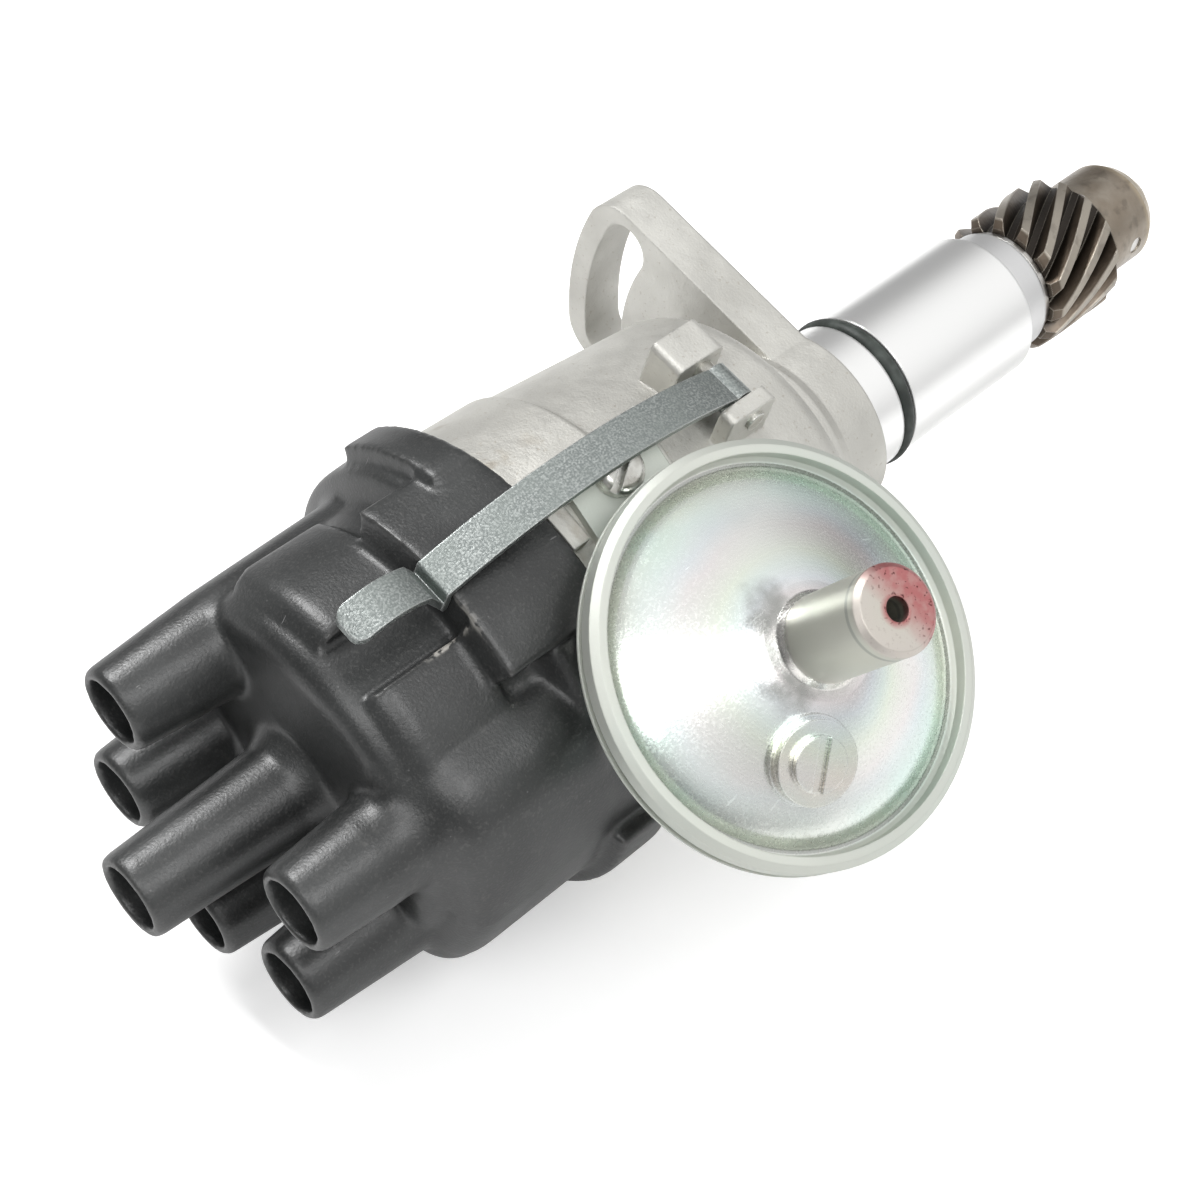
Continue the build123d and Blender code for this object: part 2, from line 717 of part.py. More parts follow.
def contact_place(u, v):
    """Point at u out along the contact direction and v across it."""
    a = radians(contact_angle)
    return u * cos(a) - v * sin(a), u * sin(a) + v * cos(a)


def contact_block(x_from, x_to, u_from, u_to, v_from, v_to):
    """Rectangular bar in the contact set's own directions."""
    box = Pos((u_from + u_to) / 2, (v_from + v_to) / 2) * Rectangle(abs(u_to - u_from), abs(v_to - v_from))
    return sheet_x(x_from, x_to, box, contact_angle)


def contact_disc(u_from, u_to):
    """Round contact point facing along u."""
    x = arm_from_x - arm_w / 2
    y, z = contact_place(min(u_from, u_to), arm_pivot_v - 0.5)
    a = radians(contact_angle)
    place = Plane(origin=(x, y, z), x_dir=(1, 0, 0), z_dir=(0, cos(a), sin(a)))
    return extrude(place * Circle(contact_r), abs(u_to - u_from))


def breaker_arm():
    """Pivoted arm with its contact; the channel back faces outwards."""
    inner_u = arm_pivot_u - arm_thick / 2
    body = contact_block(arm_from_x, arm_from_x - arm_w, inner_u, inner_u + arm_thick,
        -arm_pivot_v, arm_pivot_v + 2)
    y, z = contact_place(arm_pivot_u, -arm_pivot_v)
    body += rod_x(arm_from_x + 1, arm_from_x - arm_w - 1, arm_hub_r, y, z)
    body -= rod_x(arm_from_x + 2, arm_from_x - arm_w - 2, arm_post_r + running, y, z)
    return body + contact_disc(inner_u - contact_thick, inner_u)


def rubbing_block():
    """Fibre block between the arm and the cam."""
    inner_u = arm_pivot_u - arm_thick / 2
    nose_u = cam_long_r + block_gap
    return contact_block(arm_from_x - 0.6, arm_from_x - arm_w + 0.6, nose_u, inner_u, -2.0, 2.0)


def fixed_contact():
    """Adjustable bracket that carries the earthed contact."""
    face_u = arm_pivot_u - arm_thick / 2 - contact_thick - contact_gap
    back_u = face_u - contact_thick
    v = arm_pivot_v - 0.5
    body = contact_block(plate_top_x, arm_from_x - arm_w, back_u - 1.4, back_u, v - 2.6, v + 2.6)
    body += contact_block(plate_top_x, plate_top_x - 1.2, back_u - 1.4, back_u + 6, v - 2.6, v + 7)
    return body + contact_disc(back_u, face_u)


def breaker_spring():
    """Leaf that presses the arm towards the cam, anchored on a block."""
    outer_u = arm_pivot_u + arm_hub_r + seat_gap
    leaf = contact_block(arm_from_x - 1, arm_from_x - arm_w + 1, outer_u, outer_u + 0.4,
        -16.5, -arm_pivot_v + 3)
    anchor = contact_block(plate_top_x, arm_from_x - arm_w, outer_u - 4, outer_u,
        -16.5, -arm_pivot_v - arm_hub_r - 0.5)
    return leaf + anchor


# --- Vacuum canister -----------------------------------------------------------------

def can_turned(*outline):
    """Solid of revolution about the canister axis from (radius, height) corners."""
    profile = make_face(Polyline(*[(r, 0, z) for r, z in outline], close=True))
    return can_frame(out=can_rim_dist) * revolve(profile, Axis.Z)


def dome_curve(lift, inset=0.0):
    """Gently crowned line of the pressed dome, from the rim groove to the port foot."""
    foot = (dome_foot_r - inset, dome_rise + lift)
    brow = (can_inner_r - 6.0 - inset, dome_rise * 0.24 + lift)
    edge = (can_inner_r - 0.6 - inset, dome_edge_z + lift)
    points = [(r, 0, z) for r, z in (edge, brow, foot)]
    return Spline(*points, tangents=[(-1, 0, 1.1), (-1, 0, 0.35)])


def canister_front():
    """Pressed dome with its crimped rim, suction port and plug seat."""
    t = can_sheet
    groove = can_inner_r
    outside = dome_curve(0)
    inside = dome_curve(-t, 0.3)
    top = dome_rise + port_len
    inner = inside @ 0
    outer = outside @ 0
    rim = Polyline(*[(r, 0, z) for r, z in (
        (inner.X, inner.Z), (groove + 0.6, clamp_z), (can_r - 0.6, clamp_z), (can_r, clamp_z + 0.6),
        (can_r, 0.4), (can_r - 1.0, 1.2), (can_r - 2.2, 1.2), (groove + 0.6, -0.9), (groove, dome_edge_z),
        (outer.X, outer.Z))])
    port = Polyline(*[(r, 0, z) for r, z in (
        (dome_foot_r, dome_rise), (port_r + 0.6, dome_rise + 0.6),
        (port_r, dome_rise + 1.6), (port_r, top - 0.7),
        (port_r - 0.7, top), (port_hole_r, top), (port_hole_r, top - port_hole_depth),
        (1.0, top - port_hole_depth), (1.0, dome_rise - t), (dome_foot_r - 0.3, dome_rise - t))])
    profile = make_face([*rim.edges(), outside.edge(), *port.edges(), inside.edge()])
    shell = revolve(profile, Axis.Z)
    pad = Cylinder(plug_r + 0.4, 2 * plug_seat, align=(Align.CENTER, Align.CENTER, Align.MAX))
    return can_frame(out=can_rim_dist) * (shell + plug_place() * pad)


def plug_place():
    """Seat of the plug, tilted to lie on the dome."""
    curve = dome_curve(0)
    share = (can_inner_r - 0.6 - plug_orbit) / (can_inner_r - 0.6 - dome_foot_r)
    height = (curve @ share).Z + plug_seat
    y, z = polar(plug_orbit, plug_angle)
    return Pos(y, z, height) * Rotation(0, 0, plug_angle) * Rotation(0, plug_tilt, 0)


def canister_rear():
    """Pressed pan, rolled over the front at the rim, with the neck that enters the housing."""
    t = can_sheet
    back = -can_rear_depth
    neck_end = neck_tube_end
    return can_turned(
        (can_r, diaphragm_z - 0.4), (can_r, diaphragm_z), (can_rear_r, diaphragm_z),
        (can_rear_r - t, back + t),
        (neck_tube_r - t, back + t), (neck_tube_r - t, neck_end), (neck_tube_r, neck_end),
        (neck_tube_r, back), (can_rear_r - 2, back), (can_rear_r, back + 2),
        (can_rear_r + 0.4, diaphragm_z - 1.3),
        (can_r - 0.8, diaphragm_z - 1.3))


def diaphragm():
    """Rubber diaphragm clamped in the rim, with one rolled fold."""
    z = diaphragm_z
    t = diaphragm_thick
    fold = [(24.2, 0), (22.7, -1.8), (20.5, -1.8), (19.0, 0), (piston_r - 6, 0)]
    upper = [(r, z + t + drop) for r, drop in fold]
    lower = [(r, z + drop) for r, drop in reversed(fold)]
    return can_turned((diaphragm_r, z + t), *upper, *lower, (diaphragm_r, z))


def diaphragm_piston():
    """Stiffening cup riveted through the middle of the diaphragm."""
    z = clamp_z
    return can_turned(
        (0, z - 2.4), (0, z + piston_thick), (piston_r - 3, z + piston_thick), (piston_r - 3, z),
        (piston_r - 6, z), (piston_r - 6, diaphragm_z), (4, diaphragm_z), (4, z - 2.4))


def pull_rod():
    """Rod from the diaphragm to the pin on the breaker plate, with a flat eye."""
    pin_out = -can_offset * sin(radians(plate_travel / 2))
    pin_side = can_offset * cos(radians(plate_travel / 2))
    top = can_rim_dist + clamp_z - 2.4
    body = extrude(can_frame(out=pin_out + rod_eye_r) * Circle(rod_r), top - pin_out - rod_eye_r)
    a = radians(can_angle)
    y = pin_out * cos(a) - pin_side * sin(a)
    z = pin_out * sin(a) + pin_side * cos(a)
    body += rod_x(can_x - rod_r * 0.7, can_x + rod_r * 0.7, rod_eye_r + 0.6, y, z)
    return body - rod_x(can_x - 3, can_x + 3, rod_pin_r + 0.15, y, z)


def return_spring():
    """Coil spring between the dome and the diaphragm cup."""
    foot = clamp_z + piston_thick + can_spring_wire_r
    rise = dome_rise - can_sheet - can_spring_wire_r - foot - 0.6
    coil = coil_spring(can_spring_r, can_spring_wire_r, rise / can_spring_turns, rise)
    return can_frame(out=can_rim_dist) * (Pos(0, 0, foot) * coil)


def canister_plug():
    """Sealing plug set in the dome beside the port."""
    base = (Align.CENTER, Align.CENTER, Align.MIN)
    body = Cylinder(plug_r, plug_thick, align=base)
    body += Pos(0, 0, plug_thick) * Cylinder(plug_r - 2, 1.0, align=base)
    body -= Pos(0, 0, plug_thick + 1.4) * Box(2 * plug_r, 1.6, 2)
    return can_frame(out=can_rim_dist) * (plug_place() * body)


def canister_bracket():
    """Flat strap under the pan, screwed to the pad on the housing."""
    far = bracket_screw_off + bracket_head_r + 1.5
    near = -(neck_tube_r + 4)
    plate = Pos(0, (far + near) / 2) * RectangleRounded(bracket_w, far - near, 3)
    plate -= Circle(neck_tube_r + slip)
    plate -= Pos(0, bracket_screw_off) * Circle(bracket_screw_r + slip)
    return extrude(can_frame(out=bracket_in) * plate, bracket_thick)


def bracket_screw():
    body = Cylinder(bracket_screw_r, 9, align=(Align.CENTER, Align.CENTER, Align.MAX))
    head = Cylinder(bracket_head_r, bracket_head, align=(Align.CENTER, Align.CENTER, Align.MIN))
    head = fillet(head.edges().sort_by(Axis.Z)[-1], bracket_head * 0.45)
    body += head - Pos(0, 0, bracket_head) * Box(2 * bracket_head_r + 1, 1.2, 2.4)
    return can_frame(out=bracket_out, side=can_offset - bracket_screw_off) * (Rotation(0, 0, 35) * body)


# --- Spring clips --------------------------------------------------------------------

def spring_clip():
    """Sprung strap on the +Y side: eye, arched strap, hook and finger tab."""
    eye_r = clip_pin_r + running + clip_thick
    start = (clip_pin_x - 1.5, clip_pin_orbit + eye_r - clip_thick / 2)
    crest = (clip_bulge_x, clip_bulge_r)
    half = clip_thick / 2
    shoulder = (block_x - seat_gap - half, block_r + seat_gap + half)
    hook = (shoulder[0] - 0.4, clip_hook_r)
    strap = ThreePointArc(start, crest, shoulder)
    drop = Line(shoulder, hook)
    rise = Line(hook, (hook[0] - clip_rise_x, clip_tip_r))
    tab = ThreePointArc(rise @ 1, (clip_crest_x, clip_crest_r), (clip_tip_x, clip_tip_r))
    bar = Wire([strap.edge(), drop.edge()])
    tongue = Wire([rise.edge(), tab.edge()])
    body = extrude(make_face(offset(bar, half, side=Side.BOTH).edges()), clip_w / 2, both=True)
    flap = extrude(make_face(offset(tongue, half, side=Side.BOTH).edges()), clip_tab_w / 2, both=True)
    tab_len = hook[0] + clip_thick - clip_tip_x
    plan_x = hook[0] + clip_thick - tab_len / 2 + clip_corner_r
    plan = Plane(origin=(plan_x, 0, 0), x_dir=(1, 0, 0), z_dir=(0, 1, 0))
    outline = RectangleRounded(tab_len + 2 * clip_corner_r, clip_tab_w, clip_corner_r)
    body += flap & extrude(plan * outline, clip_bulge_r + clip_w)
    eye = Pos(clip_pin_x, clip_pin_orbit) * Circle(eye_r)
    body += extrude(eye, clip_w / 2, both=True)
    hole = Pos(clip_pin_x, clip_pin_orbit) * Circle(clip_pin_r + running)
    return body - extrude(hole, clip_w, both=True)


def clip_pin():
    """Round pin held in both lugs."""
    near = clip_w / 2 + lug_gap + lug_w + pin_end
    far = clip_w / 2 + lug_far_gap + lug_far_w + pin_end
    place = Pos(clip_pin_x, clip_pin_orbit, -far)
    return extrude(place * Circle(clip_pin_r), near + far)


def bush(x_from, x_to):
    return tube(x_from, x_to, bush_r, shaft_r + running)


parts = {
    "housing": housing(),
    "upper_bush": bush(floor_x, floor_x + upper_bush_len),
    "lower_bush": bush(boss_end_x - lower_bush_len, boss_end_x),
    "o_ring": o_ring(),
    "drive_shaft": drive_shaft(),
    "upper_thrust_washer": tube(
        floor_x - end_play / 2, upper_washer_x + end_play / 2, bush_r + 2, shaft_r + slip),
    "lower_thrust_washer": tube(lower_washer_x, lower_washer_x + washer_thick, boss_r - 0.6, shaft_r + slip),
    "drive_gear": drive_gear(),
    "gear_pin": gear_pin(),
    "governor_plate": governor_plate(),
    "governor_pins": governor_pins(),
    "fly_weight_1": fly_weight(0),
    "fly_weight_2": fly_weight(180),
    "advance_springs": advance_springs(),
    "cam_sleeve": cam_sleeve(),
    "rotor_arm": rotor_arm(),
    "rotor_blade": rotor_blade(),
    "base_plate": base_plate(),
    "plate_screws": plate_screws(),
    "breaker_plate": breaker_plate(),
    "breaker_arm": breaker_arm(),
    "rubbing_block": rubbing_block(),
    "fixed_contact": fixed_contact(),
    "breaker_spring": breaker_spring(),
    "distributor_cap": cap(),
    "perimeter_terminals": perimeter_terminals(),
    "centre_terminal": centre_terminal(),
    "brush_holder": brush_holder(),
    "carbon_brush": carbon_brush(),
    "canister_front": canister_front(),
    "canister_rear": canister_rear(),
    "diaphragm": diaphragm(),
    "diaphragm_piston": diaphragm_piston(),
    "pull_rod": pull_rod(),
    "return_spring": return_spring(),
    "canister_plug": canister_plug(),
    "canister_bracket": canister_bracket(),
    "bracket_screw": bracket_screw(),
    "front_clip": at(clip_angles[0], spring_clip()),
    "front_clip_pin": at(clip_angles[0], clip_pin()),
    "back_clip": at(clip_angles[1], spring_clip()),
    "back_clip_pin": at(clip_angles[1], clip_pin()),
}

os.makedirs("parts", exist_ok=True)
for name, shape in parts.items():
    export_step(shape, f"parts/{name}.step")
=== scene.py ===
from math import atan2, cos, degrees, hypot, radians, sin

import bpy
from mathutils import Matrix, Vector


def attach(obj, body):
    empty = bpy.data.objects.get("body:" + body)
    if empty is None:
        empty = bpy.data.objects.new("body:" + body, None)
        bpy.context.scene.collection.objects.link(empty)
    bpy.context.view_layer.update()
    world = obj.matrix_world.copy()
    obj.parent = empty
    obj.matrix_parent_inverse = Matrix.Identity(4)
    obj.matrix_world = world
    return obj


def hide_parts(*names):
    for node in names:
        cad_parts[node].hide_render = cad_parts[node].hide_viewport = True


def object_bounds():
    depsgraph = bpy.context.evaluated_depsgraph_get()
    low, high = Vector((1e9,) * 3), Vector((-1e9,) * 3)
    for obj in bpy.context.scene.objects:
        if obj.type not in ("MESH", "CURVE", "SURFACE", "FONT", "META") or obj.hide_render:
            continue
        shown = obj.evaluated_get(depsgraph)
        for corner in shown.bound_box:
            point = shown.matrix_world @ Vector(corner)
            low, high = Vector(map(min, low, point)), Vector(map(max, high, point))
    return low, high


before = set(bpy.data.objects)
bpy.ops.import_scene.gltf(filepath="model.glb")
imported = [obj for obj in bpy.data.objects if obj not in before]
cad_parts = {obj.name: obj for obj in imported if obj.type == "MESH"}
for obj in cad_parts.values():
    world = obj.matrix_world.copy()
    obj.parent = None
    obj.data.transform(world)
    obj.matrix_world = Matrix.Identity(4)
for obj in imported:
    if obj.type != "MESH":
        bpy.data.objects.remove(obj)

cad_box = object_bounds()

# --- Housing ------------------------------------------------------------------------
# One aluminium casting: bowl, neck, slotted ear and stem. The skin is as it left the
# sand; only the stem, its boss and the bowl's rim are turned bright on the lathe.

cast_grey = (0.550, 0.542, 0.508, 1)
cast_pale = (0.665, 0.658, 0.620, 1)
cast_stain = (0.33, 0.28, 0.21, 1)
turned_bright = (0.95, 0.95, 0.94, 1)
boss_grey = (0.70, 0.70, 0.70, 1)
stem_starts_x = 0.0002
stem_ends_x = 0.0424
stem_outside_r = 0.0137
rim_bright_x = -0.0672
boss_roughness = 0.42


def start_finish(name, **even_values):
    """A new finish whose shader has these values all over."""
    material = bpy.data.materials.new(name)
    material.use_nodes = True
    shader = material.node_tree.nodes["Principled BSDF"]
    for socket, value in even_values.items():
        shader.inputs[socket.replace("_", " ")].default_value = value
    return material


def step(material, kind, sockets, **settings):
    """Add a node; each socket takes a value or the output of a node before it."""
    made = material.node_tree.nodes.new("ShaderNode" + kind)
    for name, value in settings.items():
        setattr(made, name, value)
    for socket, value in sockets.items():
        if isinstance(value, bpy.types.NodeSocket):
            material.node_tree.links.new(value, made.inputs[socket])
        else:
            made.inputs[socket].default_value = value
    return made


def spot(material):
    """The place on the piece, in metres."""
    return step(material, "TexCoord", {}).outputs["Object"]


def grain(material, scale, detail=4.0, stretch=(1, 1, 1)):
    """Noise over the piece; scale counts its cells in a metre."""
    place = step(material, "Mapping", {"Vector": spot(material), "Scale": stretch}).outputs[0]
    return step(material, "TexNoise", {"Vector": place, "Scale": scale, "Detail": detail}).outputs[0]


def fade(material, value, none_at, full_at):
    """0 on one side of a value's range, 1 on the other, and smooth between."""
    return step(
        material, "MapRange", {"Value": value, "From Min": none_at, "From Max": full_at},
        interpolation_type="SMOOTHSTEP").outputs[0]


def sums(material, operation, first, second=0.0):
    return step(material, "Math", {0: first, 1: second}, operation=operation).outputs[0]


def mixed(material, share, first, second):
    """The first colour where share is 0 and the second where it is 1."""
    return step(material, "Mix", {0: share, 6: first, 7: second}, data_type="RGBA").outputs[2]


def level(material, share, low, high):
    """A number that goes from low to high as share goes from 0 to 1."""
    return step(material, "MapRange", {"Value": share, "To Min": low, "To Max": high}).outputs[0]


def mixed_value(material, share, first, second):
    """The first number where share is 0 and the second where it is 1."""
    return step(material, "Mix", {0: share, 2: first, 3: second}).outputs[0]


def vector_sum(material, operation, first, second):
    return step(material, "VectorMath", {0: first, 1: second}, operation=operation).outputs["Vector"]


def vector_value(material, operation, first, second=(0, 0, 0)):
    return step(material, "VectorMath", {0: first, 1: second}, operation=operation).outputs["Value"]


def from_shaft(material):
    """Place along the shaft line and distance from it."""
    along = step(material, "SeparateXYZ", {0: spot(material)}).outputs["X"]
    across = vector_sum(material, "MULTIPLY", spot(material), (0, 1, 1))
    return along, vector_value(material, "LENGTH", across)


def soft_edges(material, width):
    """The surface's direction with its edges rounded, and 1 along rubbed edges."""
    rounded = step(material, "Bevel", {"Radius": width}, samples=4).outputs[0]
    plain = step(material, "NewGeometry", {}).outputs["Normal"]
    agree = vector_value(material, "DOT_PRODUCT", rounded, plain)
    return rounded, fade(material, agree, 0.985, 0.86)


def finish_surface(material, colour, roughness, normal=None, relief=()):
    """Join a finish together; relief lists (height, depth in metres) from coarse to fine."""
    shader = material.node_tree.nodes["Principled BSDF"]
    join = material.node_tree.links.new
    join(colour, shader.inputs["Base Color"])
    join(roughness, shader.inputs["Roughness"])
    for height, depth in relief:
        bump = step(material, "Bump", {"Height": height, "Distance": depth})
        if normal:
            join(normal, bump.inputs["Normal"])
        normal = bump.outputs[0]
    if normal:
        join(normal, shader.inputs["Normal"])
    return material


def dress(material, *names):
    """Give nodes of the frame a finish."""
    for name in names:
        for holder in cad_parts[name].material_slots:
            holder.material = material


def cast_aluminium():
    made = start_finish("cast_aluminium", Metallic=0.88)
    along, radius = from_shaft(made)
    rounded, rubbed = soft_edges(made, 0.0006)
    on_stem = sums(made, "MULTIPLY", fade(made, along, stem_starts_x - 0.0003, stem_starts_x),
                   fade(made, radius, stem_outside_r + 0.0003, stem_outside_r))
    on_boss = fade(made, along, stem_ends_x - 0.0003, stem_ends_x)
    on_rim = fade(made, along, rim_bright_x, rim_bright_x - 0.0006)
    skin = mixed(made, fade(made, grain(made, 55, 6), 0.35, 0.68), cast_grey, cast_pale)
    stains = sums(made, "MULTIPLY", fade(made, grain(made, 190, 8), 0.55, 0.72),
                  sums(made, "MULTIPLY", fade(made, along, -0.052, -0.066), 0.45))
    skin = mixed(made, stains, skin, cast_stain)
    pits = fade(made, grain(made, 1400, 3), 0.62, 0.74)
    skin = mixed(made, sums(made, "MULTIPLY", pits, 0.35), skin, cast_stain)
    skin = mixed(made, sums(made, "MULTIPLY", rubbed, 0.6), skin, cast_pale)
    colour = mixed(made, on_rim, skin, cast_pale)
    colour = mixed(made, on_stem, colour, turned_bright)
    colour = mixed(made, on_boss, colour, boss_grey)
    turning = grain(made, 5200, 2, (1, 0.015, 0.015))
    cast_roughness = level(made, grain(made, 300, 5), 0.46, 0.66)
    turned_roughness = level(made, turning, 0.27, 0.34)
    roughness = mixed_value(made, on_stem, cast_roughness, turned_roughness)
    roughness = mixed_value(made, on_boss, roughness, boss_roughness)
    as_cast = sums(made, "SUBTRACT", 1.0, on_stem)
    swell = sums(made, "MULTIPLY", grain(made, 110, 3), as_cast)
    sand = sums(made, "MULTIPLY", grain(made, 2300, 5), as_cast)
    return finish_surface(made, colour, roughness, rounded, [
        (swell, 0.0004), (sand, 0.00006), (sums(made, "MULTIPLY", turning, on_stem), 0.000003)])


dress(cast_aluminium(), "housing")

# --- Seal ring ----------------------------------------------------------------------
# A moulded rubber ring in the stem's groove, slightly squeezed, dulled by oil.

ring_black = (0.022, 0.027, 0.024, 1)
ring_bloom = (0.070, 0.082, 0.074, 1)


def seal_rubber():
    made = start_finish("seal_rubber", Specular_IOR_Level=0.4)
    bloom = fade(made, grain(made, 260, 5), 0.40, 0.75)
    return finish_surface(made, mixed(made, bloom, ring_black, ring_bloom),
                          level(made, grain(made, 500), 0.42, 0.62), None,
                          [(grain(made, 2600, 3), 0.00003)])


dress(seal_rubber(), "o_ring", "diaphragm")

# --- Shaft, bushes and washers --------------------------------------------------------
# The shaft is ground steel in oiled sintered bronze bushes. Its bare tip beyond the gear
# has taken a pale tan film of old oil.

steel_grey = (0.55, 0.53, 0.50, 1)
steel_bright = (0.72, 0.71, 0.69, 1)
oil_tan = (0.50, 0.42, 0.30, 1)
bronze = (0.42, 0.29, 0.16, 1)
bronze_pale = (0.60, 0.45, 0.26, 1)
pore_dark = (0.10, 0.07, 0.04, 1)
tip_starts_x = 0.083


def ground_steel():
    made = start_finish("ground_steel", Metallic=1.0)
    along, radius = from_shaft(made)
    rounded, rubbed = soft_edges(made, 0.0004)
    lines = grain(made, 4200, 2, (1, 0.03, 0.03))
    film = sums(made, "MULTIPLY", fade(made, along, tip_starts_x - 0.001, tip_starts_x),
                fade(made, grain(made, 160, 5), 0.25, 0.60))
    colour = mixed(made, fade(made, grain(made, 90, 5), 0.35, 0.70), steel_grey, steel_bright)
    colour = mixed(made, film, colour, oil_tan)
    return finish_surface(made, mixed(made, rubbed, colour, steel_bright),
                          level(made, lines, 0.24, 0.42), rounded, [(lines, 0.00001)])


def sintered_bronze():
    made = start_finish("sintered_bronze", Metallic=0.9)
    pores = fade(made, grain(made, 2200, 4), 0.55, 0.70)
    colour = mixed(made, grain(made, 120, 5), bronze, bronze_pale)
    return finish_surface(made, mixed(made, pores, colour, pore_dark),
                          level(made, pores, 0.32, 0.60), None, [(pores, -0.00003)])


shaft_steel = ground_steel()
dress(shaft_steel, "drive_shaft", "upper_thrust_washer", "lower_thrust_washer", "gear_pin",
      "governor_pins", "cam_sleeve", "pull_rod")
dress(sintered_bronze(), "upper_bush", "lower_bush")

# --- Drive gear -----------------------------------------------------------------------
# A hobbed skew gear, pinned to the shaft. Old oil has browned it; the tooth tips are
# rubbed pale and the roots are nearly black.

gear_root_black = (0.030, 0.023, 0.017, 1)
gear_brown = (0.150, 0.118, 0.090, 1)
gear_tip_pale = (0.46, 0.42, 0.36, 1)
gear_hub_brown = (0.27, 0.225, 0.175, 1)
tooth_root_r = 0.0101
tooth_tip_r = 0.0127
teeth_end_x = 0.0695
hub_oil_x = 0.0790


def oiled_gear_steel():
    made = start_finish("oiled_gear_steel", Metallic=0.9, Coat_Weight=0.25, Coat_Roughness=0.2)
    along, radius = from_shaft(made)
    rounded, rubbed = soft_edges(made, 0.0003)
    depth = fade(made, radius, tooth_root_r, tooth_tip_r - 0.0006)
    flank = mixed(made, depth, gear_root_black, gear_brown)
    tips = fade(made, radius, tooth_tip_r - 0.0004, tooth_tip_r - 0.0001)
    colour = mixed(made, sums(made, "MULTIPLY", tips, 0.75), flank, gear_tip_pale)
    colour = mixed(made, sums(made, "MULTIPLY", rubbed, 0.8), colour, gear_tip_pale)
    hub = fade(made, along, teeth_end_x, teeth_end_x + 0.0004)
    worn = mixed(made, fade(made, grain(made, 160, 4), 0.35, 0.95), gear_hub_brown, gear_tip_pale)
    colour = mixed(made, hub, colour, worn)
    oil = sums(made, "MULTIPLY", fade(made, along, hub_oil_x, hub_oil_x + 0.0015), 0.8)
    colour = mixed(made, oil, colour, oil_tan)
    grime = fade(made, grain(made, 420, 6), 0.52, 0.68)
    colour = mixed(made, sums(made, "MULTIPLY", grime, 0.25), colour, gear_root_black)
    return finish_surface(made, colour, level(made, grain(made, 500, 5), 0.28, 0.52), rounded,
                          [(grain(made, 1300, 5), 0.00006)])


dress(oiled_gear_steel(), "drive_gear")

# --- Cap --------------------------------------------------------------------------------
# A phenolic moulding with drafted lead posts, flutes and clip blocks that run into each
# other with blends. Its skin is satin black, dusty, scuffed and grey along the edges.

cap_black = (0.013, 0.0140, 0.0140, 1)
cap_grey = (0.029, 0.0308, 0.0306, 1)
cap_dust = (0.105, 0.102, 0.097, 1)
cap_scuff = (0.17, 0.17, 0.17, 1)
chip_tan = (0.50, 0.48, 0.44, 1)
chip_place = (-0.0885, -0.0138, 0.0268)
chip_reach = 0.0062
chip_core = 0.0022
skin_pitch = 0.00060        # mesh size of the moulded skin
blend_passes = 16
post_starts_x = -0.1105
blend_ends_x = -0.0770
clip_line = 106.5           # angle of the clip blocks round the shaft, in degrees
block_half = 28.0           # degrees either side of that line
firm_hold = 0.16
band_hold = 0.8
root_passes = 150
root_from_x = -0.1120
root_to_x = -0.0880
root_fade = 0.0030
root_from_angle = 141.0
root_to_angle = 190.0
root_from_r = 0.0240
band_lug_r = 0.0347          # the band's own lugs stand further out than this


def choose_only(piece):
    bpy.ops.object.select_all(action="DESELECT")
    piece.select_set(True)
    bpy.context.view_layer.objects.active = piece


def apply_all(piece):
    choose_only(piece)
    for modifier in list(piece.modifiers):
        bpy.ops.object.modifier_apply(modifier=modifier.name)


def moulded_copy(name, node):
    """A copy of a node's shape as one closed, evenly divided skin."""
    piece = bpy.data.objects.new(name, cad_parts[node].data.copy())
    bpy.context.scene.collection.objects.link(piece)
    choose_only(piece)
    bpy.ops.object.mode_set(mode="EDIT")
    bpy.ops.mesh.select_all(action="SELECT")
    bpy.ops.mesh.remove_doubles(threshold=1e-7)
    bpy.ops.object.mode_set(mode="OBJECT")
    bpy.ops.mesh.customdata_custom_splitnormals_clear()
    skin = piece.modifiers.new("skin", "REMESH")
    skin.mode = "VOXEL"
    skin.voxel_size = skin_pitch
    apply_all(piece)
    return piece


def blend_share(place):
    """How far the mould's blends round the cap off at a place."""
    angle = degrees(atan2(place.z, place.y))
    off_clip = min(abs((angle - clip_line + 90) % 180 - 90), 90)
    if post_starts_x < place.x < blend_ends_x and off_clip > block_half:
        return 1.0
    if place.x >= blend_ends_x and hypot(place.y, place.z) > band_lug_r:
        return band_hold
    return firm_hold


def soften(piece, share, passes):
    """Round a skin's edges, by each point's share."""
    firmness = piece.vertex_groups.new(name=share.__name__)
    for point in piece.data.vertices:
        firmness.add([point.index], share(point.co), "REPLACE")
    smooth = piece.modifiers.new("blends", "SMOOTH")
    smooth.factor = 0.5
    smooth.iterations = passes
    smooth.vertex_group = firmness.name
    apply_all(piece)
    bpy.ops.object.shade_smooth()


def post_root_share(place):
    """Where one post's shoulder is rounded away into the full wall."""
    angle = degrees(atan2(place.z, place.y)) % 360
    beside = root_from_angle < angle < root_to_angle and hypot(place.y, place.z) > root_from_r
    along = min(place.x - root_from_x, root_to_x - place.x) / root_fade
    return min(1.0, max(0.0, along)) if beside else 0.0


